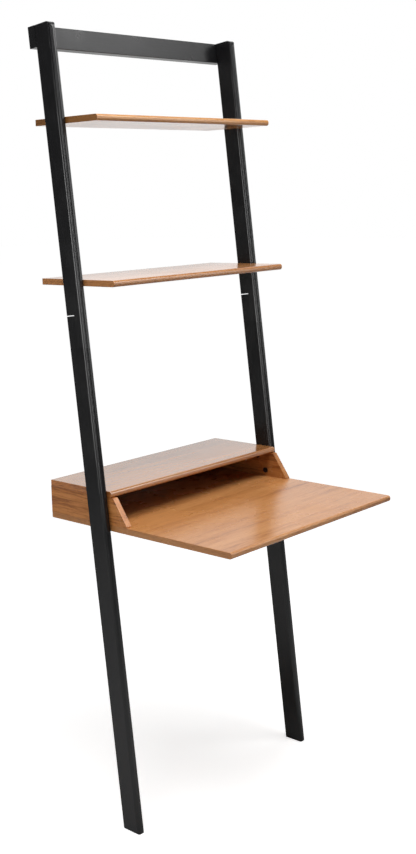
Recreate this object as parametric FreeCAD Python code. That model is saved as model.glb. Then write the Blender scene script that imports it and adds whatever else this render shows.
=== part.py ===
import FreeCAD, Part
import math
import os

# Ladder desk. Two rails lean back against a wall and carry two shelves and a desk board
# with a low hutch on it. X runs along the width, +Y points at the wall and +Z is up.
# The origin is on the floor, in the middle of the width and of the depth. Millimetres.

V = FreeCAD.Vector

# Frame
WIDTH = 660.0             # over the outer faces of the rails
LEAN = 6.0                # degrees that the rails lean back from upright
WALL_GAP = 10.0           # from the crosspiece to the plane of the board backs
RAIL_T = 20.0             # rail, side to side
RAIL_D = 52.0             # rail, front to back
RAIL_L = 1904.0           # rail, from the back corner of its foot to its top
RAIL_FRONT_R = 8.0        # rounding of the two long front edges
RAIL_BACK_R = 1.5         # easing of the two long back edges
RAIL_TOP_R = 14.0         # rounding of the front corner of the top
RAIL_END = 1.0            # small chamfer round the foot and the top
CROSS_T = 23.0            # crosspiece, front to back
CROSS_H = 50.0            # crosspiece, along the rail
CROSS_R = 1.5             # easing of its long edges

# Half-lap splice that joins the lower and the upper length of each rail
LAP_FOOT = 1157.0         # from the foot to the front seam, along the rail
LAP_L = 77.0              # length of the lap
LAP_SEAM = 0.4            # closed seam on the front
LAP_GAP = 2.0             # open seam on the back
LAP_BOLT_PITCH = 40.0     # between the two bolts of one lap

# Boards
BOARD_T = 15.0            # all boards are cut from one sheet
FRONT_R = 6.5             # rounding of the long front edges
EASE_R = 0.8              # easing of the ends and the back
TOP_SHELF_DROP = 210.5    # upper face of the top shelf, below the top of the rails
TOP_SHELF_D = 208.0
MIDDLE_SHELF_Z = 1311.0   # height of the upper face
MIDDLE_SHELF_D = 244.0
DESK_Z = 739.0
DESK_D = 570.0
HUTCH_H = 79.5            # from the desk's face to the top of the hutch
HUTCH_TOP_D = 210.0
HUTCH_BASE_D = 257.0      # side of the hutch, along the desk
HUTCH_LIP = 5.0           # side of the hutch beyond its top board, just under it
HUTCH_NOSE = 3.0          # upright tip of the side, at its foot

# Fits
HOLE_FIT = 0.2            # added to a diameter that drops into a hole
SHANK_FIT = 0.6           # added to a bolt's diameter where it passes a piece
HOLE_END = 1.0            # depth of a blind hole past what it holds

# Hardware
BOLT_D = 6.0
CAP_D = 10.0              # cap head, sunk in the frame
CAP_H = 6.0
CAP_SINK = 7.0            # depth of the counterbore
FLAT_D = 14.0             # flat head, on the inner faces of the hutch
FLAT_H = 2.2
HEX_AF = 4.0              # key socket, across its flats
HEX_DEPTH = 1.6
INSERT_D = 9.5            # threaded insert
INSERT_L = 13.0
CROSS_BOLT_PITCH = 26.0
HUTCH_BOLT_RISE = 38.0    # between the two bolts of one hutch side
HUTCH_BOLT_STAGGER = 22.0  # and how far the lower one stands forward of the upper
HUTCH_BOLT_Z = 16.0       # lower bolt above the desk's face
DOWEL_D = 8.0
DOWEL_L = 30.0
DOWEL_SHORT = 11.0        # length of a dowel in the piece that it is glued into
DOWEL_CHAMFER = 1.0
SHELF_DOWEL_PITCH = 32.0
CAM_D = 15.0
CAM_H = 12.0
CAM_REACH = 24.0          # from the joint to the cam's axis
CAM_SLOT_W = 7.2
CAM_KEY_L = 9.0           # cross recess in the cam
CAM_KEY_W = 1.6
CAM_KEY_DEPTH = 2.0
PIN_THREAD_D = 5.0        # cam pin: thread, body, neck and head
PIN_THREAD_L = 11.0
PIN_BODY_D = 6.6
PIN_NECK_D = 3.6
PIN_NECK_L = 4.0
PIN_HEAD_L = 3.0
HUTCH_PIN_INSET = 45.0    # first cam pin in the top of a hutch side, from the back board
HUTCH_PIN_PITCH = 60.0
HUTCH_DOWEL_INSET = 18.0
BACK_DOWEL_PITCH = 32.0
SCREW_D = 4.0
SCREW_L = 45.0
SCREW_HEAD_D = 8.0
SCREW_HEAD_H = 2.6
SCREW_INSET = 30.0        # first and last screw of a row from the ends of the edge

# Worked out
INNER_W = WIDTH - 2 * RAIL_T
INNER_X = INNER_W / 2
WALL_Y = DESK_D / 2
TILT = math.radians(LEAN)
TOP_REACH = RAIL_L * math.sin(TILT) + CROSS_T * math.cos(TILT)
FOOT_Y = WALL_Y - WALL_GAP - TOP_REACH
TOP_SHELF_Z = RAIL_L * math.cos(TILT) - TOP_SHELF_DROP
LAP_MID = LAP_FOOT + LAP_L / 2
HALF_D = RAIL_D / 2
SIDE_H = HUTCH_H - BOARD_T
SIDE_TOP_D = HUTCH_TOP_D + HUTCH_LIP

X = V(1, 0, 0)
Y = V(0, 1, 0)
Z = V(0, 0, 1)
NEAR = 1e-4               # how far an edge may stray from the plane that it is picked by


def rail_centre(z):
    # middle of the rail's depth at the height z
    return FOOT_Y + z * math.tan(TILT) - HALF_D / math.cos(TILT)


def leaned(shape):
    # from the upright frame of a rail, with its foot's back corner at 0, to its place
    turned = shape.copy()
    turned.rotate(V(0, 0, 0), X, -LEAN)
    turned.translate(V(-WIDTH / 2, FOOT_Y, 0))
    return turned


def mirrored(shape):
    return shape.mirror(V(0, 0, 0), X)


def placed(shape, origin, along, across):
    # puts a shape drawn along +Z, with +X as its marked side, at a joint
    turn = FreeCAD.Rotation(across, along.cross(across), along, "ZXY")
    moved = shape.copy()
    moved.Placement = FreeCAD.Placement(origin, turn)
    return moved


def round_bar(radius, z_from, z_to):
    return Part.makeCylinder(radius, z_to - z_from, V(0, 0, z_from))


def turned_part(outline):
    # outline is (radius, z) points; the first and the last are on the axis
    points = [V(radius, 0, z) for radius, z in outline]
    face = Part.Face(Part.makePolygon(points + points[:1]))
    return face.revolve(V(0, 0, 0), Z, 360)


def edges_along(shape, axis):
    # straight edges that run along X, Y or Z
    across = [other + "Length" for other in "XYZ" if other != axis]
    return [edge for edge in shape.Edges if all(getattr(edge.BoundBox, side) < NEAR for side in across)]


def edges_at(edges, side, value):
    # those of the edges whose box reaches no further than value, as in side = "YMax"
    return [edge for edge in edges if abs(getattr(edge.BoundBox, side) - value) < NEAR]


# Joints. Each is drawn with the joint's face at z = 0 and returns the hardware,
# then the hole in the piece below z = 0 and the hole in the piece above it.

def dowel_joint():
    top = DOWEL_L - DOWEL_SHORT
    radius = DOWEL_D / 2
    inner = radius - DOWEL_CHAMFER
    dowel = turned_part([(0, -DOWEL_SHORT), (inner, -DOWEL_SHORT), (radius, DOWEL_CHAMFER - DOWEL_SHORT),
                         (radius, top - DOWEL_CHAMFER), (inner, top), (0, top)])
    hole = (DOWEL_D + HOLE_FIT) / 2
    below = round_bar(hole, -DOWEL_SHORT - HOLE_END, 0)
    above = round_bar(hole, 0, top + HOLE_END)
    return dowel, below, above


def cam_pin():
    head_top = CAM_REACH + PIN_HEAD_L / 2
    neck_top = head_top - PIN_HEAD_L
    body_top = neck_top - PIN_NECK_L
    thread, body, neck = PIN_THREAD_D / 2, PIN_BODY_D / 2, PIN_NECK_D / 2
    return turned_part([(0, -PIN_THREAD_L), (thread, -PIN_THREAD_L), (thread, 0), (body, 0),
                        (body, body_top), (neck, body_top), (neck, neck_top), (body, neck_top),
                        (body, head_top), (0, head_top)])


def cam_disc():
    # drawn on its side: the axis runs along X and the keyed face is at x = BOARD_T / 2
    face_x = BOARD_T / 2
    disc = Part.makeCylinder(CAM_D / 2, CAM_H, V(face_x - CAM_H, 0, CAM_REACH), X)
    slot_corner = V(-CAM_SLOT_W / 2, -CAM_SLOT_W / 2, CAM_REACH + PIN_HEAD_L - CAM_D)
    slot = Part.makeBox(CAM_SLOT_W, CAM_SLOT_W, CAM_D, slot_corner)
    keys = []
    for wide, tall in ((CAM_KEY_L, CAM_KEY_W), (CAM_KEY_W, CAM_KEY_L)):
        corner = V(face_x - CAM_KEY_DEPTH, -wide / 2, CAM_REACH - tall / 2)
        keys.append(Part.makeBox(CAM_KEY_DEPTH, wide, tall, corner))
    return disc.cut([slot] + keys)


def cam_joint():
    below = round_bar((PIN_THREAD_D + HOLE_FIT) / 2, -PIN_THREAD_L - HOLE_END, 0)
    bore = round_bar((PIN_BODY_D + SHANK_FIT) / 2, 0, CAM_REACH)
    depth = CAM_H + HOLE_FIT
    centre = V(BOARD_T / 2 - depth, 0, CAM_REACH)
    pocket = Part.makeCylinder((CAM_D + HOLE_FIT) / 2, depth, centre, X)
    return cam_pin(), cam_disc(), below, bore.fuse(pocket)


def key_socket(z_from, z_to):
    corner = HEX_AF / math.sqrt(3)
    turns = [k * math.pi / 3 for k in range(7)]
    points = [V(corner * math.cos(turn), corner * math.sin(turn), z_from) for turn in turns]
    return Part.Face(Part.makePolygon(points)).extrude(V(0, 0, z_to - z_from))


def bolt(grip, sink, head_d, head_h):
    # the head rests at the bottom of a counterbore of depth sink, in a piece of thickness grip
    seat = sink - grip
    head = round_bar(head_d / 2, seat - head_h, seat)
    shank = round_bar(BOLT_D / 2, seat, INSERT_L)
    socket = key_socket(seat - head_h, seat - head_h + HEX_DEPTH)
    return head.fuse(shank).removeSplitter().cut(socket)


def bolt_joint(grip, sink, head_d, head_h):
    insert = round_bar(INSERT_D / 2, 0, INSERT_L).cut(round_bar((BOLT_D + HOLE_FIT) / 2, 0, INSERT_L))
    passage = round_bar((BOLT_D + SHANK_FIT) / 2, -grip, 0)
    if sink > 0:
        passage = passage.fuse(round_bar((head_d + SHANK_FIT) / 2, -grip, sink - grip))
    pocket = round_bar((INSERT_D + HOLE_FIT) / 2, 0, INSERT_L + HOLE_END)
    return bolt(grip, sink, head_d, head_h), insert, passage, pocket


def screw_joint():
    # countersunk from the outer face of the lower board, at z = -BOARD_T
    foot = -BOARD_T
    neck = foot + SCREW_HEAD_H
    tip = foot + SCREW_L
    radius = SCREW_D / 2
    head = SCREW_HEAD_D / 2
    screw = turned_part([(0, foot), (head, foot), (radius, neck), (radius, tip - SCREW_D), (0, tip)])
    fit = HOLE_FIT / 2
    sunk = turned_part([(0, foot), (head + fit, foot), (radius + fit, neck), (radius + fit, 0), (0, 0)])
    above = round_bar(radius + fit, 0, tip + HOLE_END)
    return screw, sunk, above


# Rails and crosspiece, drawn upright with the back faces of the rails at y = 0

def rail_section(z_from, z_to):
    bar = Part.makeBox(RAIL_T, RAIL_D, z_to - z_from, V(0, -RAIL_D, z_from))
    bar = bar.makeFillet(RAIL_BACK_R, edges_at(edges_along(bar, "Z"), "YMin", 0))
    return bar.makeFillet(RAIL_FRONT_R, edges_at(edges_along(bar, "Z"), "YMax", -RAIL_D))


def side_profile(edges):
    return Part.Face(Part.Wire(edges)).extrude(V(RAIL_T, 0, 0))


def side_chamfers(z_end, up):
    # wedges that take the side edges off an end; up is 1 for a top and -1 for a foot
    wedges = []
    for x, inward in ((0, 1), (RAIL_T, -1)):
        points = [V(x, -RAIL_L, z_end - up * RAIL_END), V(x, -RAIL_L, z_end + up),
                  V(x + inward * (RAIL_END + 1), -RAIL_L, z_end + up)]
        wedges.append(Part.Face(Part.makePolygon(points + points[:1])).extrude(V(0, 2 * RAIL_L, 0)))
    return wedges


def polyline(points):
    return [Part.LineSegment(V(0, *a), V(0, *b)).toShape() for a, b in zip(points, points[1:])]


def lower_rail():
    # its back half runs up into the lap; the foot is cut level
    slope = math.tan(TILT)
    front = RAIL_END - RAIL_D
    tongue = LAP_FOOT + LAP_L - LAP_GAP
    outline = [(0, RAIL_END), (-RAIL_END, -RAIL_END * slope), (front, front * slope),
               (-RAIL_D, RAIL_END - RAIL_D * slope), (-RAIL_D, LAP_FOOT), (-HALF_D, LAP_FOOT),
               (-HALF_D, tongue), (0, tongue), (0, RAIL_END)]
    rail = leaned(side_profile(polyline(outline)).common(rail_section(-RAIL_D, tongue)))
    wedges = side_chamfers(0, -1)
    for wedge in wedges:
        wedge.translate(V(-WIDTH / 2, 0, 0))
    return rail.cut(wedges)


def upper_rail():
    # its front half runs down into the lap
    tongue = LAP_FOOT + LAP_SEAM
    shoulder = LAP_FOOT + LAP_L
    outline = [(RAIL_TOP_R - RAIL_D, RAIL_L), (-RAIL_END, RAIL_L), (0, RAIL_L - RAIL_END),
               (0, shoulder), (-HALF_D, shoulder),
               (-HALF_D, tongue), (-RAIL_D, tongue), (-RAIL_D, RAIL_L - RAIL_TOP_R)]
    slant = RAIL_TOP_R * (1 - math.sqrt(0.5))
    corner = Part.Arc(V(0, -RAIL_D, RAIL_L - RAIL_TOP_R), V(0, slant - RAIL_D, RAIL_L - slant),
                      V(0, RAIL_TOP_R - RAIL_D, RAIL_L)).toShape()
    rail = side_profile(polyline(outline) + [corner]).common(rail_section(tongue, RAIL_L))
    return leaned(rail.cut(side_chamfers(RAIL_L, 1)))


def crosspiece():
    bar = Part.makeBox(WIDTH, CROSS_T, CROSS_H, V(0, 0, RAIL_L - CROSS_H))
    return bar.makeFillet(CROSS_R, edges_along(bar, "X"))


def board(depth, z_top):
    # spans between the rails, with its back edge against the wall
    front = WALL_Y - depth
    plate = Part.makeBox(INNER_W, depth, BOARD_T, V(-INNER_X, front, z_top - BOARD_T))
    plate = plate.makeFillet(FRONT_R, edges_at(edges_along(plate, "X"), "YMax", front))
    rim = edges_at(plate.Edges, "XMax", -INNER_X) + edges_at(plate.Edges, "XMin", INNER_X)
    return plate.makeFillet(EASE_R, rim + edges_at(edges_along(plate, "X"), "YMin", WALL_Y))


def hutch_side():
    # the left one; its front slopes from the top board down to the desk
    base_y, top_y = WALL_Y - HUTCH_BASE_D, WALL_Y - SIDE_TOP_D
    points = [(WALL_Y, DESK_Z), (base_y, DESK_Z), (base_y, DESK_Z + HUTCH_NOSE), (top_y, DESK_Z + SIDE_H),
              (WALL_Y, DESK_Z + SIDE_H), (WALL_Y, DESK_Z)]
    side = Part.Face(Part.Wire(polyline(points))).extrude(V(BOARD_T, 0, 0))
    side.translate(V(-INNER_X, 0, 0))
    return side


def hutch_back():
    length = INNER_W - 2 * BOARD_T
    return Part.makeBox(length, BOARD_T, SIDE_H, V(-length / 2, WALL_Y - BOARD_T, DESK_Z))


# Hardware in place: each function returns, for the left side of the desk, lists of the
# solids and of the holes that they need

def lap_hardware():
    shapes = bolt_joint(HALF_D, CAP_SINK, CAP_D, CAP_H)
    spots = [V(RAIL_T / 2, -HALF_D, LAP_MID + k * LAP_BOLT_PITCH / 2) for k in (-1, 1)]
    return [[leaned(placed(shape, spot, -Y, X)) for spot in spots] for shape in shapes]


def cross_hardware():
    shapes = bolt_joint(CROSS_T, CAP_SINK, CAP_D, CAP_H)
    middle = RAIL_L - CROSS_H / 2
    spots = [V(RAIL_T / 2, 0, middle + k * CROSS_BOLT_PITCH / 2) for k in (-1, 1)]
    return [[leaned(placed(shape, spot, -Y, X)) for spot in spots] for shape in shapes]


def shelf_cams(z_top):
    z = z_top - BOARD_T / 2
    spot = V(-INNER_X, rail_centre(z), z)
    return [placed(shape, spot, X, -Z) for shape in cam_joint()]


def shelf_dowels(z_top):
    z = z_top - BOARD_T / 2
    spots = [V(-INNER_X, rail_centre(z) + k * SHELF_DOWEL_PITCH / 2, z) for k in (-1, 1)]
    return [[placed(shape, spot, X, -Z) for spot in spots] for shape in dowel_joint()]


def hutch_cams():
    # the pins hang from the top board, and the cams turn from inside the hutch
    z = DESK_Z + SIDE_H
    x = BOARD_T / 2 - INNER_X
    first = WALL_Y - BOARD_T - HUTCH_PIN_INSET
    spots = [V(x, first, z), V(x, first - HUTCH_PIN_PITCH, z)]
    return [[placed(shape, spot, -Z, X) for spot in spots] for shape in cam_joint()]


def hutch_dowels():
    z = DESK_Z + SIDE_H
    x = BOARD_T / 2 - INNER_X
    back = WALL_Y - BOARD_T - HUTCH_DOWEL_INSET
    front = WALL_Y - SIDE_TOP_D + HUTCH_DOWEL_INSET
    spots = [V(x, y, z) for y in (back, front)]
    return [[placed(shape, spot, -Z, X) for spot in spots] for shape in dowel_joint()]


def back_dowels():
    x = BOARD_T - INNER_X
    z = DESK_Z + SIDE_H / 2
    spots = [V(x, WALL_Y - BOARD_T / 2, z + k * BACK_DOWEL_PITCH / 2) for k in (-1, 1)]
    return [[placed(shape, spot, X, -Z) for spot in spots] for shape in dowel_joint()]


def hutch_bolts():
    shapes = bolt_joint(BOARD_T, 0, FLAT_D, FLAT_H)
    spots = []
    for step in (0, 1):
        z = DESK_Z + HUTCH_BOLT_Z + step * HUTCH_BOLT_RISE
        spots.append(V(-INNER_X, rail_centre(z) + (step - 0.5) * HUTCH_BOLT_STAGGER, z))
    return [[placed(shape, spot, -X, Y) for spot in spots] for shape in shapes]


def side_screws():
    screw, sunk, above = screw_joint()
    x = BOARD_T / 2 - INNER_X
    front = WALL_Y - HUTCH_BASE_D + SCREW_INSET
    back = WALL_Y - BOARD_T - SCREW_INSET
    spots = [V(x, y, DESK_Z) for y in (front, (front + back) / 2, back)]
    return [[placed(shape, spot, Z, X) for spot in spots] for shape in (screw, sunk, above)]


def back_screws():
    screw, sunk, above = screw_joint()
    x = INNER_X - BOARD_T - SCREW_INSET
    spots = [V(k * x, WALL_Y - BOARD_T / 2, DESK_Z) for k in (-1, 0, 1)]
    return [[placed(shape, spot, Z, X) for spot in spots] for shape in (screw, sunk, above)]


def both(shapes):
    return shapes + [mirrored(shape) for shape in shapes]


def build():
    lap_bolts, lap_inserts, lap_passages, lap_pockets = lap_hardware()
    cross_bolts, cross_inserts, cross_passages, cross_pockets = cross_hardware()
    top_pin, top_disc, top_thread, top_bore = shelf_cams(TOP_SHELF_Z)
    mid_pin, mid_disc, mid_thread, mid_bore = shelf_cams(MIDDLE_SHELF_Z)
    top_dowels, top_rail_holes, top_board_holes = shelf_dowels(TOP_SHELF_Z)
    mid_dowels, mid_rail_holes, mid_board_holes = shelf_dowels(MIDDLE_SHELF_Z)
    pins, discs, pin_threads, pin_bores = hutch_cams()
    lid_dowels, lid_holes, side_top_holes = hutch_dowels()
    end_dowels, side_end_holes, back_end_holes = back_dowels()
    rail_bolts, rail_inserts, side_passages, rail_pockets = hutch_bolts()
    screws, desk_holes, side_holes = side_screws()
    rear_screws, rear_desk_holes, back_holes = back_screws()

    lower = lower_rail().cut(lap_passages + rail_pockets)
    upper = upper_rail().cut(lap_pockets + cross_pockets + [top_thread, mid_thread]
                             + top_rail_holes + mid_rail_holes)
    side = hutch_side().cut(pin_bores + side_top_holes + side_end_holes + side_passages + side_holes)

    return {
        "left_rail_lower": [lower],
        "right_rail_lower": [mirrored(lower)],
        "left_rail_upper": [upper],
        "right_rail_upper": [mirrored(upper)],
        "top_crosspiece": [leaned(crosspiece()).cut(both(cross_passages))],
        "crosspiece_bolts": both(cross_bolts),
        "crosspiece_inserts": both(cross_inserts),
        "rail_lap_bolts": both(lap_bolts),
        "rail_lap_inserts": both(lap_inserts),
        "top_shelf": [board(TOP_SHELF_D, TOP_SHELF_Z).cut(both([top_bore] + top_board_holes))],
        "top_shelf_dowels": both(top_dowels),
        "top_shelf_cam_pins": both([top_pin]),
        "top_shelf_cams": both([top_disc]),
        "middle_shelf": [board(MIDDLE_SHELF_D, MIDDLE_SHELF_Z).cut(both([mid_bore] + mid_board_holes))],
        "middle_shelf_dowels": both(mid_dowels),
        "middle_shelf_cam_pins": both([mid_pin]),
        "middle_shelf_cams": both([mid_disc]),
        "desk_board": [board(DESK_D, DESK_Z).cut(both(desk_holes) + rear_desk_holes)],
        "desk_board_screws": both(screws) + rear_screws,
        "hutch_top": [board(HUTCH_TOP_D, DESK_Z + HUTCH_H).cut(both(pin_threads + lid_holes))],
        "hutch_left_side": [side],
        "hutch_right_side": [mirrored(side)],
        "hutch_back": [hutch_back().cut(both(back_end_holes) + back_holes)],
        "hutch_top_dowels": both(lid_dowels),
        "hutch_top_cam_pins": both(pins),
        "hutch_top_cams": both(discs),
        "hutch_back_dowels": both(end_dowels),
        "hutch_rail_bolts": both(rail_bolts),
        "hutch_rail_inserts": both(rail_inserts),
    }


os.makedirs("parts", exist_ok=True)
for name, solids in build().items():
    shape = solids[0] if len(solids) == 1 else Part.makeCompound(solids)
    shape.exportStep("parts/" + name + ".step")
    print(name, len(shape.Solids), round(shape.Volume), shape.isValid())
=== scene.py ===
import math
import bpy
from mathutils import Matrix, Vector

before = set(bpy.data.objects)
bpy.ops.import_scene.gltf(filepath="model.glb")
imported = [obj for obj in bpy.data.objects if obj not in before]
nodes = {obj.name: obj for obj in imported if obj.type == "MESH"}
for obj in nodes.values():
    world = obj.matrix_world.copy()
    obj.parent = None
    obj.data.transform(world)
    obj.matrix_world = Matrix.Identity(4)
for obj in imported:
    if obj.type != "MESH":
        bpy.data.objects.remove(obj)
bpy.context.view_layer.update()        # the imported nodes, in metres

print("loaded", len(nodes), "nodes")

# places of the Mix node's sockets, whose names repeat
mixFactor = 0
colorA, colorB, colorResult = 6, 7, 2
vectorA, vectorB, vectorResult = 4, 5, 1

white = (1, 1, 1, 1)


def addNode(tree, kind, **values):
    # a shader node with its settings and the values of its inputs, which go by name or by number
    node = tree.nodes.new(kind)
    for key, value in values.items():
        if key == "inputs":
            for socket, number in value.items():
                node.inputs[socket].default_value = number
        else:
            setattr(node, key, value)
    return node


def join(tree, source, output, target, socket):
    tree.links.new(source.outputs[output], target.inputs[socket])


def newMaterial(name):
    material = bpy.data.materials.new(name)
    material.use_nodes = True
    tree = material.node_tree
    tree.nodes.clear()
    shader = tree.nodes.new("ShaderNodeBsdfPrincipled")
    result = tree.nodes.new("ShaderNodeOutputMaterial")
    join(tree, shader, "BSDF", result, "Surface")
    return material, tree, shader


def newGroup(name, takes, gives):
    # takes and gives say the kind of each socket by its name
    group = bpy.data.node_groups.new(name, "ShaderNodeTree")
    for way, sockets in (("INPUT", takes), ("OUTPUT", gives)):
        for label, kind in sockets.items():
            group.interface.new_socket(label, in_out=way, socket_type="NodeSocket" + kind)
    return group, group.nodes.new("NodeGroupInput"), group.nodes.new("NodeGroupOutput")


def addGroup(tree, group, inputs):
    return addNode(tree, "ShaderNodeGroup", node_tree=group, inputs=inputs)


def addColorMix(tree, inputs, blend="MIX"):
    return addNode(tree, "ShaderNodeMix", data_type="RGBA", blend_type=blend, inputs=inputs)


def addTone(tree, places, colors):
    # a colour ramp, whose places and colours go from dark to light
    tone = addNode(tree, "ShaderNodeValToRGB")
    stops = tone.color_ramp.elements
    stops[0].position, stops[0].color = places[0], colors[0]
    stops[1].position, stops[1].color = places[-1], colors[-1]
    for place, color in zip(places[1:-1], colors[1:-1]):
        stops.new(place).color = color
    return tone


def addFlow(tree, axes, order):
    # the place with its axes in another order; grain runs along the one that comes first
    flow = addNode(tree, "ShaderNodeCombineXYZ")
    for source, socket in zip(order, "XYZ"):
        join(tree, axes, source, flow, socket)
    return flow


def paint(nodeName, material):
    for slot in nodes[nodeName].material_slots:
        slot.material = material


# Grain: streaks that run along the first axis of the vector that comes in
grainDetail = {
    "streaks": {"Detail": 6.0, "Roughness": 0.62, "Distortion": 0.15},
    "wander": {"Scale": 9.0, "Detail": 2.0},
    "sway": 0.05,                # how far the bands wander when Drift is 1
    "bands": {"Detail": 3.0, "Roughness": 0.5},
    "pores": {"Detail": 1.0, "Roughness": 0.4},
    "poreFineness": 3.1,         # how much finer than the streaks they are
    "poreRange": (0.60, 0.72),   # values of the noise between which a pore grows
}


def makeGrain(detail):
    group, given, result = newGroup(
        "grain",
        {"Vector": "Vector", "Stretch": "Float", "Fine": "Float", "Wide": "Float",
         "Drift": "Float"},
        {"Streaks": "Float", "Bands": "Float", "Pores": "Float"})
    axes = addNode(group, "ShaderNodeSeparateXYZ")
    join(group, given, "Vector", axes, "Vector")
    along = addNode(group, "ShaderNodeMath", operation="DIVIDE")
    join(group, axes, "X", along, 0)
    join(group, given, "Stretch", along, 1)
    squeezed = addNode(group, "ShaderNodeCombineXYZ")
    join(group, along, "Value", squeezed, "X")
    join(group, axes, "Y", squeezed, "Y")
    join(group, axes, "Z", squeezed, "Z")

    streaks = addNode(group, "ShaderNodeTexNoise", inputs=detail["streaks"])
    join(group, squeezed, "Vector", streaks, "Vector")
    join(group, given, "Fine", streaks, "Scale")
    join(group, streaks, "Fac", result, "Streaks")

    wander = addNode(group, "ShaderNodeTexNoise", inputs=detail["wander"])
    join(group, squeezed, "Vector", wander, "Vector")
    bend = addNode(group, "ShaderNodeVectorMath", operation="SCALE")
    join(group, wander, "Color", bend, 0)
    sway = addNode(group, "ShaderNodeMath", operation="MULTIPLY", inputs={1: detail["sway"]})
    join(group, given, "Drift", sway, 0)
    join(group, sway, "Value", bend, "Scale")
    bent = addNode(group, "ShaderNodeVectorMath", operation="ADD")
    join(group, squeezed, "Vector", bent, 0)
    join(group, bend, "Vector", bent, 1)
    bands = addNode(group, "ShaderNodeTexNoise", inputs=detail["bands"])
    join(group, bent, "Vector", bands, "Vector")
    join(group, given, "Wide", bands, "Scale")
    join(group, bands, "Fac", result, "Bands")

    finer = addNode(group, "ShaderNodeMath", operation="MULTIPLY",
                    inputs={1: detail["poreFineness"]})
    join(group, given, "Fine", finer, 0)
    pores = addNode(group, "ShaderNodeTexNoise", inputs=detail["pores"])
    join(group, squeezed, "Vector", pores, "Vector")
    join(group, finer, "Value", pores, "Scale")
    low, high = detail["poreRange"]
    thin = addNode(group, "ShaderNodeMapRange", inputs={"From Min": low, "From Max": high})
    join(group, pores, "Fac", thin, "Value")
    join(group, thin, "Result", result, "Pores")
    return group


# Handling: broad soft patches where a finish is a little duller
smudgeDetail = {
    "patches": {"Detail": 4.0, "Roughness": 0.6},
    "range": (0.35, 0.65),       # values of the noise between which a patch grows duller
}


def makeSmudge(detail):
    group, given, result = newGroup(
        "smudge",
        {"Vector": "Vector", "Low": "Float", "High": "Float", "Scale": "Float"},
        {"Roughness": "Float"})
    patches = addNode(group, "ShaderNodeTexNoise", inputs=detail["patches"])
    join(group, given, "Vector", patches, "Vector")
    join(group, given, "Scale", patches, "Scale")
    low, high = detail["range"]
    spread = addNode(group, "ShaderNodeMapRange", inputs={"From Min": low, "From Max": high})
    join(group, patches, "Fac", spread, "Value")
    join(group, given, "Low", spread, "To Min")
    join(group, given, "High", spread, "To Max")
    join(group, spread, "Result", result, "Roughness")
    return group


grainGroup = makeGrain(grainDetail)
smudgeGroup = makeSmudge(smudgeDetail)
print("made the shared node groups")


def addSmudge(tree, place, shader, roughness, scale):
    low, high = roughness
    smudge = addGroup(tree, smudgeGroup, {"Low": low, "High": high, "Scale": scale})
    join(tree, place, "Object", smudge, "Vector")
    join(tree, smudge, "Roughness", shader, "Roughness")


def addRelief(tree, height, output, shader, finish):
    bump = addNode(tree, "ShaderNodeBump",
                   inputs={"Strength": finish["bump"], "Distance": finish["bumpDepth"]})
    join(tree, height, output, bump, "Height")
    join(tree, bump, "Normal", shader, "Normal")


# Boards
boardFinish = {
    "light": (0.53, 0.240, 0.083, 1),
    "middle": (0.45, 0.185, 0.058, 1),
    "dark": (0.26, 0.095, 0.030, 1),
    "grain": {"Stretch": 16.0, "Fine": 330.0, "Wide": 42.0, "Drift": 0.5},
    "streakShare": 0.5,          # of the tone, and the bands give the rest
    "pore": (0.55, 0.45, 0.38, 1),
    "poreStrength": 0.55,
    "smudgeScale": 6.0,
    "coatRoughness": 0.16,
    "bump": 0.05,
    "bumpDepth": 0.0004,
    "endTurn": 0.7,              # a face that is turned this far to X is the end of a board
}

# what most boards share; tones are the places of the dark, middle and light colour in the grain
plainBoard = {"side": False, "coat": 0.0, "specular": 0.6, "roughness": (0.25, 0.33),
              "tint": white, "endTint": white, "tones": (0.33, 0.46, 0.62)}
plainSide = {**plainBoard, "side": True, "specular": 0.4, "tones": (0.40, 0.48, 0.57)}
boards = {
    # the top shelf's tint lightens it as painted light, for the stronger light from the front lamps
    # up high; its end tint darkens its ends as painted shade
    "top_shelf": {
        **plainBoard, "shift": (0.4, 0.10, 0.03), "coat": 0.25, "specular": 0.55,
        "roughness": (0.17, 0.24), "tint": (1.07, 1.16, 1.08, 1), "endTint": (0.55, 0.56, 0.47, 1)},
    # the middle shelf's tint darkens it a little as painted shade, against the top shelf's painted
    # light
    "middle_shelf": {
        **plainBoard, "shift": (1.7, 0.37, 0.11), "coat": 0.3, "specular": 0.55,
        "roughness": (0.17, 0.24), "tint": (0.92, 0.93, 0.96, 1)},
    "desk_board": {
        **plainBoard, "shift": (2.9, 0.21, 0.07), "specular": 0.55,
        "roughness": (0.23, 0.31), "tint": (1.11, 1.15, 1.18, 1)},
    # the hutch top's tint darkens it as painted shade, for the shade of the shelves above it
    "hutch_top": {
        **plainBoard, "shift": (4.3, 0.55, 0.02), "coat": 0.4, "specular": 1.0,
        "roughness": (0.16, 0.22), "tint": (0.92, 0.90, 0.84, 1), "endTint": (1.15, 0.98, 0.72, 1)},
    # the hutch back's dark tint is painted shade: it makes the back as dark as the shaded opening
    "hutch_back": {
        **plainBoard, "shift": (5.1, 0.05, 0.40), "specular": 0.3, "tint": (0.26, 0.23, 0.21, 1)},
    "hutch_left_side": {
        **plainSide, "shift": (6.6, 0.23, 0.31), "tint": (1.15, 1.05, 0.90, 1)},
    "hutch_right_side": {
        **plainSide, "shift": (7.2, 0.41, 0.17), "tint": (1.0, 0.95, 0.85, 1)},
}


def addEndMask(tree, endTurn):
    # 1 on the ends of a board and 0 elsewhere
    surface = addNode(tree, "ShaderNodeNewGeometry")
    local = addNode(tree, "ShaderNodeVectorTransform", vector_type="NORMAL",
                    convert_from="WORLD", convert_to="OBJECT")
    join(tree, surface, "True Normal", local, "Vector")
    facing = addNode(tree, "ShaderNodeSeparateXYZ")
    join(tree, local, "Vector", facing, "Vector")
    turned = addNode(tree, "ShaderNodeMath", operation="ABSOLUTE")
    join(tree, facing, "X", turned, 0)
    isEnd = addNode(tree, "ShaderNodeMath", operation="GREATER_THAN", inputs={1: endTurn})
    join(tree, turned, "Value", isEnd, 0)
    return isEnd


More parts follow.
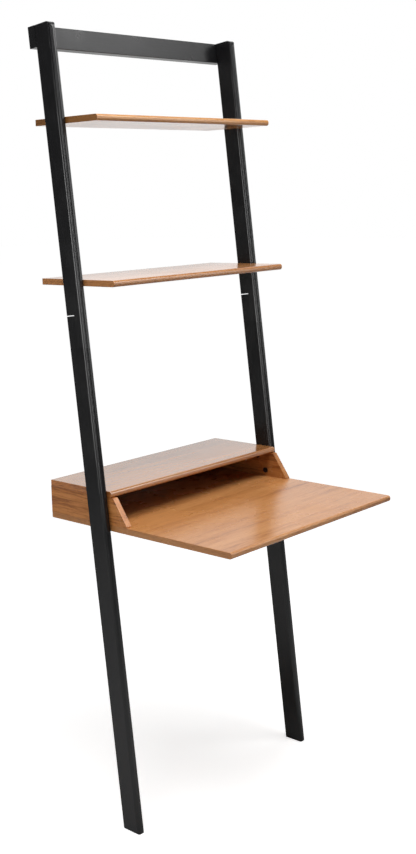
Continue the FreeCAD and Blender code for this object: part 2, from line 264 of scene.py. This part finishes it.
def makeBoard(name, spec, finish):
    material, tree, shader = newMaterial(name + "Laminate")
    place = addNode(tree, "ShaderNodeTexCoord")
    axes = addNode(tree, "ShaderNodeSeparateXYZ")
    join(tree, place, "Object", axes, "Vector")
    shifted = addNode(tree, "ShaderNodeMapping", inputs={"Location": spec["shift"]})
    # the tint multiplies the grain's colour, and on several boards it holds painted light and shade
    tinted = addColorMix(tree, {mixFactor: 1.0, colorB: spec["tint"]}, "MULTIPLY")
    crosswise = addFlow(tree, axes, "YXZ")         # grain along Y
    if spec["side"]:
        join(tree, crosswise, "Vector", shifted, "Vector")
    else:
        lengthwise = addFlow(tree, axes, "XYZ")    # grain along X, and along Y on the ends
        isEnd = addEndMask(tree, finish["endTurn"])
        flow = addNode(tree, "ShaderNodeMix", data_type="VECTOR")
        join(tree, isEnd, "Value", flow, mixFactor)
        join(tree, lengthwise, "Vector", flow, vectorA)
        join(tree, crosswise, "Vector", flow, vectorB)
        join(tree, flow, vectorResult, shifted, "Vector")
        tint = addColorMix(tree, {colorA: spec["tint"], colorB: spec["endTint"]})
        join(tree, isEnd, "Value", tint, mixFactor)
        join(tree, tint, colorResult, tinted, colorB)
    grain = addGroup(tree, grainGroup, finish["grain"])
    join(tree, shifted, "Vector", grain, "Vector")

    streakShare = finish["streakShare"]
    bandPart = addNode(tree, "ShaderNodeMath", operation="MULTIPLY", inputs={1: 1.0 - streakShare})
    join(tree, grain, "Bands", bandPart, 0)
    blend = addNode(tree, "ShaderNodeMath", operation="MULTIPLY_ADD", inputs={1: streakShare})
    join(tree, grain, "Streaks", blend, 0)
    join(tree, bandPart, "Value", blend, 2)
    tone = addTone(tree, spec["tones"], [finish["dark"], finish["middle"], finish["light"]])
    join(tree, blend, "Value", tone, "Fac")

    porous = addColorMix(tree, {colorB: finish["pore"]}, "MULTIPLY")
    dim = addNode(tree, "ShaderNodeMath", operation="MULTIPLY", inputs={1: finish["poreStrength"]})
    join(tree, grain, "Pores", dim, 0)
    join(tree, dim, "Value", porous, mixFactor)
    join(tree, tone, "Color", porous, colorA)
    join(tree, porous, colorResult, tinted, colorA)
    join(tree, tinted, colorResult, shader, "Base Color")

    addSmudge(tree, place, shader, spec["roughness"], finish["smudgeScale"])
    shader.inputs["Specular IOR Level"].default_value = spec["specular"]
    shader.inputs["Coat Weight"].default_value = spec["coat"]
    shader.inputs["Coat Roughness"].default_value = finish["coatRoughness"]
    addRelief(tree, grain, "Streaks", shader, finish)
    return material


for boardName, boardSpec in boards.items():
    paint(boardName, makeBoard(boardName, boardSpec, boardFinish))
print("finished the boards")


# Black rails and crosspiece
blackFinish = {
    "light": (0.0060, 0.0060, 0.0070, 1),
    "dark": (0.0020, 0.0020, 0.0024, 1),
    "tones": (0.35, 0.65),
    "grain": {"Stretch": 22.0, "Fine": 520.0, "Wide": 70.0, "Drift": 0.3},
    "poreRelief": -0.6,          # how far a pore stands out, where a streak stands out by 1
    "smudgeScale": 11.0,
    "bump": 0.11,
    "bumpDepth": 0.0004,
}

plainRail = {"lean": 6.0, "roughness": (0.18, 0.25)}     # the lean is in degrees
blackPieces = {
    "left_rail_lower": {**plainRail, "shift": (0.3, 0.1, 0.2), "specular": 0.45},
    "left_rail_upper": {**plainRail, "shift": (2.2, 0.5, 0.1), "specular": 0.55},
    "right_rail_lower": {**plainRail, "shift": (3.7, 0.3, 0.6), "specular": 0.45},
    "right_rail_upper": {**plainRail, "shift": (5.4, 0.2, 0.4), "specular": 0.55},
    "top_crosspiece": {
        "lean": None, "shift": (7.7, 0.4, 0.3), "roughness": (0.26, 0.34), "specular": 0.43},
}


def makeBlackWood(name, spec, finish):
    material, tree, shader = newMaterial(name + "Lacquer")
    place = addNode(tree, "ShaderNodeTexCoord")
    shifted = addNode(tree, "ShaderNodeMapping", inputs={"Location": spec["shift"]})
    if spec["lean"] is None:
        join(tree, place, "Object", shifted, "Vector")
    else:
        upright = addNode(tree, "ShaderNodeMapping",
                          inputs={"Rotation": (math.radians(spec["lean"]), 0, 0)})
        join(tree, place, "Object", upright, "Vector")
        axes = addNode(tree, "ShaderNodeSeparateXYZ")
        join(tree, upright, "Vector", axes, "Vector")
        flow = addFlow(tree, axes, "ZXY")          # grain along the rail
        join(tree, flow, "Vector", shifted, "Vector")
    grain = addGroup(tree, grainGroup, finish["grain"])
    join(tree, shifted, "Vector", grain, "Vector")
    tone = addTone(tree, finish["tones"], [finish["dark"], finish["light"]])
    join(tree, grain, "Streaks", tone, "Fac")
    join(tree, tone, "Color", shader, "Base Color")
    addSmudge(tree, place, shader, spec["roughness"], finish["smudgeScale"])
    shader.inputs["Specular IOR Level"].default_value = spec["specular"]
    relief = addNode(tree, "ShaderNodeMath", operation="MULTIPLY_ADD",
                     inputs={1: finish["poreRelief"]})
    join(tree, grain, "Pores", relief, 0)
    join(tree, grain, "Streaks", relief, 2)
    addRelief(tree, relief, "Value", shader, finish)
    return material


for pieceName, pieceSpec in blackPieces.items():
    paint(pieceName, makeBlackWood(pieceName, pieceSpec, blackFinish))
print("finished the rails and the crosspiece")


# Fittings
metalFinish = {
    "clouds": {"Scale": 160.0, "Detail": 4.0, "Roughness": 0.6},
    "tones": (0.35, 0.65),
    "smudgeScale": 240.0,
}

metals = {
    "blackOxide": {
        "nodes": ["crosspiece_bolts", "rail_lap_bolts", "hutch_rail_bolts"],
        "light": (0.030, 0.030, 0.032, 1), "dark": (0.012, 0.012, 0.013, 1),
        "metallic": 0.6, "roughness": (0.30, 0.45)},
    "brightZinc": {
        "nodes": ["crosspiece_inserts", "rail_lap_inserts", "hutch_rail_inserts",
                  "top_shelf_cam_pins", "middle_shelf_cam_pins", "hutch_top_cam_pins",
                  "top_shelf_cams", "middle_shelf_cams", "hutch_top_cams", "desk_board_screws"],
        "light": (0.66, 0.66, 0.67, 1), "dark": (0.50, 0.50, 0.50, 1),
        "metallic": 1.0, "roughness": (0.22, 0.40)},
}


def makeMetal(name, spec, finish):
    material, tree, shader = newMaterial(name)
    place = addNode(tree, "ShaderNodeTexCoord")
    clouds = addNode(tree, "ShaderNodeTexNoise", inputs=finish["clouds"])
    join(tree, place, "Object", clouds, "Vector")
    tone = addTone(tree, finish["tones"], [spec["dark"], spec["light"]])
    join(tree, clouds, "Fac", tone, "Fac")
    join(tree, tone, "Color", shader, "Base Color")
    addSmudge(tree, place, shader, spec["roughness"], finish["smudgeScale"])
    shader.inputs["Metallic"].default_value = spec["metallic"]
    return material


for metalName, metalSpec in metals.items():
    metal = makeMetal(metalName, metalSpec, metalFinish)
    for metalNode in metalSpec["nodes"]:
        paint(metalNode, metal)


beechSpec = {
    "nodes": ["top_shelf_dowels", "middle_shelf_dowels", "hutch_top_dowels", "hutch_back_dowels"],
    "light": (0.74, 0.56, 0.36, 1),
    "dark": (0.60, 0.42, 0.25, 1),
    "tones": (0.35, 0.65),
    "grain": {"Stretch": 6.0, "Fine": 900.0, "Wide": 200.0, "Drift": 0.2},
    "roughness": 0.6,
}


def makeBeech(spec):
    material, tree, shader = newMaterial("beechDowel")
    place = addNode(tree, "ShaderNodeTexCoord")
    grain = addGroup(tree, grainGroup, spec["grain"])
    join(tree, place, "Object", grain, "Vector")
    tone = addTone(tree, spec["tones"], [spec["dark"], spec["light"]])
    join(tree, grain, "Streaks", tone, "Fac")
    join(tree, tone, "Color", shader, "Base Color")
    shader.inputs["Roughness"].default_value = spec["roughness"]
    return material


beech = makeBeech(beechSpec)
for dowelNode in beechSpec["nodes"]:
    paint(dowelNode, beech)
print("finished the fittings")


# Floor, light and camera
# the direction in which gloss finds the lit backdrop, and how nearly a ray must point there
backdropSide = {"towards": (0.74, 0.67, 0.0), "edge": (0.45, 0.85)}

floorSpec = {
    **backdropSide,
    "size": 60.0,
    "color": (0.80, 0.80, 0.80, 1),
    "roughness": 0.9,
    "specular": 0.0,
    "reach": (1.2, 5.0),         # distances between which the floor turns into backdrop
    "seen": (0.72, 1.0),         # its own light near the desk and far off, as seen by the camera
    "mirrored": (0.0, 1.0),      # and as gloss shows it
    "elsewhere": 0.15,           # what is left of the mirrored light in other directions
}


def addSide(tree, heading, output, spec, least):
    # 1 towards the lit backdrop, and least away from it
    turn = addNode(tree, "ShaderNodeVectorMath", operation="DOT_PRODUCT",
                   inputs={1: spec["towards"]})
    join(tree, heading, output, turn, 0)
    low, high = spec["edge"]
    side = addNode(tree, "ShaderNodeMapRange", interpolation_type="SMOOTHSTEP",
                   inputs={"From Min": low, "From Max": high, "To Min": least})
    join(tree, turn, "Value", side, "Value")
    return side


def addSeen(tree, path):
    # 1 for what is seen straight or through something clear
    seen = addNode(tree, "ShaderNodeMath", operation="MAXIMUM")
    join(tree, path, "Is Camera Ray", seen, 0)
    join(tree, path, "Is Transmission Ray", seen, 1)
    return seen


def addGlow(tree, away, reach, glow):
    grow = addNode(tree, "ShaderNodeMapRange", interpolation_type="SMOOTHSTEP",
                   inputs={"From Min": reach[0], "From Max": reach[1],
                           "To Min": glow[0], "To Max": glow[1]})
    join(tree, away, "Value", grow, "Value")
    return grow


def makeFloor(spec):
    bpy.ops.object.select_all(action="DESELECT")
    bpy.ops.mesh.primitive_plane_add(size=spec["size"])
    floor = bpy.context.active_object
    floor.name = "floor"
    material, tree, shader = newMaterial("paleFloor")
    shader.inputs["Base Color"].default_value = spec["color"]
    shader.inputs["Roughness"].default_value = spec["roughness"]
    shader.inputs["Specular IOR Level"].default_value = spec["specular"]
    shader.inputs["Emission Color"].default_value = white
    path = addNode(tree, "ShaderNodeLightPath")
    place = addNode(tree, "ShaderNodeTexCoord")
    away = addNode(tree, "ShaderNodeVectorMath", operation="LENGTH")
    join(tree, place, "Object", away, 0)
    outward = addNode(tree, "ShaderNodeVectorMath", operation="NORMALIZE")
    join(tree, place, "Object", outward, 0)
    mirrored = addNode(tree, "ShaderNodeMath", operation="MULTIPLY")
    join(tree, addGlow(tree, away, spec["reach"], spec["mirrored"]), "Result", mirrored, 0)
    join(tree, addSide(tree, outward, "Vector", spec, spec["elsewhere"]), "Result", mirrored, 1)
    seen = addNode(tree, "ShaderNodeMath", operation="MULTIPLY")
    join(tree, addSeen(tree, path), "Value", seen, 0)
    join(tree, addGlow(tree, away, spec["reach"], spec["seen"]), "Result", seen, 1)
    glow = addNode(tree, "ShaderNodeMath", operation="MULTIPLY_ADD")
    join(tree, path, "Is Glossy Ray", glow, 0)
    join(tree, mirrored, "Value", glow, 1)
    join(tree, seen, "Value", glow, 2)
    join(tree, glow, "Value", shader, "Emission Strength")
    floor.data.materials.append(material)


worldSpec = {
    **backdropSide,
    "backdrop": white,
    "fill": (0.005, 0.005, 0.005, 1),     # what lights the object
    "lit": white,                         # what gloss shows of the lit backdrop
    "dark": (0.115, 0.115, 0.115, 1),     # and of the rest of the room
}


def makeWorld(spec):
    world = bpy.data.worlds.new("studio")
    bpy.context.scene.world = world
    world.use_nodes = True
    tree = world.node_tree
    tree.nodes.clear()
    path = addNode(tree, "ShaderNodeLightPath")
    place = addNode(tree, "ShaderNodeTexCoord")
    room = addColorMix(tree, {colorA: spec["dark"], colorB: spec["lit"]})
    join(tree, addSide(tree, place, "Generated", spec, 0.0), "Result", room, mixFactor)
    gloss = addColorMix(tree, {colorA: spec["fill"]})
    join(tree, path, "Is Glossy Ray", gloss, mixFactor)
    join(tree, room, colorResult, gloss, colorB)
    mix = addColorMix(tree, {colorB: spec["backdrop"]})
    join(tree, addSeen(tree, path), "Value", mix, mixFactor)
    join(tree, gloss, colorResult, mix, colorA)
    sky = addNode(tree, "ShaderNodeBackground")
    join(tree, mix, colorResult, sky, "Color")
    result = addNode(tree, "ShaderNodeOutputWorld")
    join(tree, sky, "Background", result, "Surface")


# a lamp whose lights is False only shows in gloss, as the pale streaks on the black wood
lamps = {
    "overheadSoftbox": {
        "at": (-0.3, -0.7, 3.2), "aim": (-0.2, -0.5, 0.0), "size": (3.2, 1.6),
        "radiance": 5.88, "lights": True},
    "leftSoftbox": {
        "at": (-3.13, 0.9, 1.13), "aim": (-0.3, 0.1, 1.13), "size": (1.2, 1.6),
        "radiance": 2.42, "lights": True},
    "leftFrontSoftbox": {
        "at": (-3.2, -1.0, 1.2), "aim": (-0.3, 0.1, 1.2), "size": (1.2, 1.4),
        "radiance": 1.14, "lights": True},
    "rightSoftbox": {
        "at": (3.0, 0.2, 1.8), "aim": (0.0, 0.1, 1.2), "size": (1.4, 1.8),
        "radiance": 1.69, "lights": True},
    "rightStrip": {
        "at": (2.8, -2.3, 2.0), "aim": (0.0, 0.15, 1.6), "size": (0.5, 2.2),
        "radiance": 2.55, "lights": True},
    "rightFrontStrip": {
        "at": (2.3, -2.6, 2.0), "aim": (0.0, 0.15, 1.6), "size": (0.5, 2.2),
        "radiance": 2.11, "lights": True},
    "leftStreak": {
        "at": (-3.0, 1.4, 1.2), "aim": (-0.3, 0.15, 1.2), "size": (0.5, 1.7),
        "radiance": 6.89, "lights": False},
    "frontStreak": {
        "at": (-0.8, -3.0, 1.9), "aim": (0.0, 0.15, 1.6), "size": (0.35, 2.4),
        "radiance": 5.03, "lights": False},
    "cameraStreak": {
        "at": (-2.7, -2.5, 1.6), "aim": (0.0, 0.15, 1.5), "size": (0.5, 2.2),
        "radiance": 7.9, "lights": False},
    "highStreak": {
        "at": (2.6, -2.5, 3.6), "aim": (0.0, 0.15, 1.8), "size": (1.5, 1.0),
        "radiance": 6.2, "lights": False},
}


def makeLamp(name, spec):
    wide, high = spec["size"]
    light = bpy.data.lights.new(name, "AREA")
    light.shape = "RECTANGLE"
    light.size, light.size_y = wide, high
    light.energy = spec["radiance"] * math.pi * wide * high
    lamp = bpy.data.objects.new(name, light)
    bpy.context.scene.collection.objects.link(lamp)
    lamp.location = spec["at"]
    lamp.visible_diffuse = spec["lights"]
    away = Vector(spec["aim"]) - Vector(spec["at"])
    lamp.rotation_euler = away.to_track_quat("-Z", "Y").to_euler()


cameraSpec = {
    "at": (-2.19966, -1.86616, 1.49213),
    # in radians: from +Y to +X, down, and about the view
    "yaw": 0.79467, "pitch": 0.14015, "roll": -0.03314,
    "focal": 1193.28, "centre": (133.60, 367.21), "frame": (416, 854),    # in pixels
    "sensor": 36.0,              # its height in millimetres
}


def makeCamera(spec):
    yaw, pitch, roll = spec["yaw"], spec["pitch"], spec["roll"]
    ahead = Vector((math.sin(yaw) * math.cos(pitch), math.cos(yaw) * math.cos(pitch),
                    -math.sin(pitch)))
    level = Vector((math.cos(yaw), -math.sin(yaw), 0))
    upright = level.cross(ahead)
    right = math.cos(roll) * level + math.sin(roll) * upright
    up = -math.sin(roll) * level + math.cos(roll) * upright
    turn = Matrix((right, up, -ahead)).transposed()
    wide, high = spec["frame"]
    data = bpy.data.cameras.new("camera")
    data.sensor_fit = "VERTICAL"
    data.sensor_height = spec["sensor"]
    data.lens = spec["focal"] * spec["sensor"] / high
    data.shift_x = (wide / 2 - spec["centre"][0]) / high
    data.shift_y = (spec["centre"][1] - high / 2) / high
    camera = bpy.data.objects.new("camera", data)
    bpy.context.scene.collection.objects.link(camera)
    camera.matrix_world = Matrix.Translation(spec["at"]) @ turn.to_4x4()
    bpy.context.scene.camera = camera


makeFloor(floorSpec)
makeWorld(worldSpec)
for lampName, lampSpec in lamps.items():
    makeLamp(lampName, lampSpec)
makeCamera(cameraSpec)
bpy.context.scene.view_settings.view_transform = "Standard"
print("set the floor, the light and the camera")
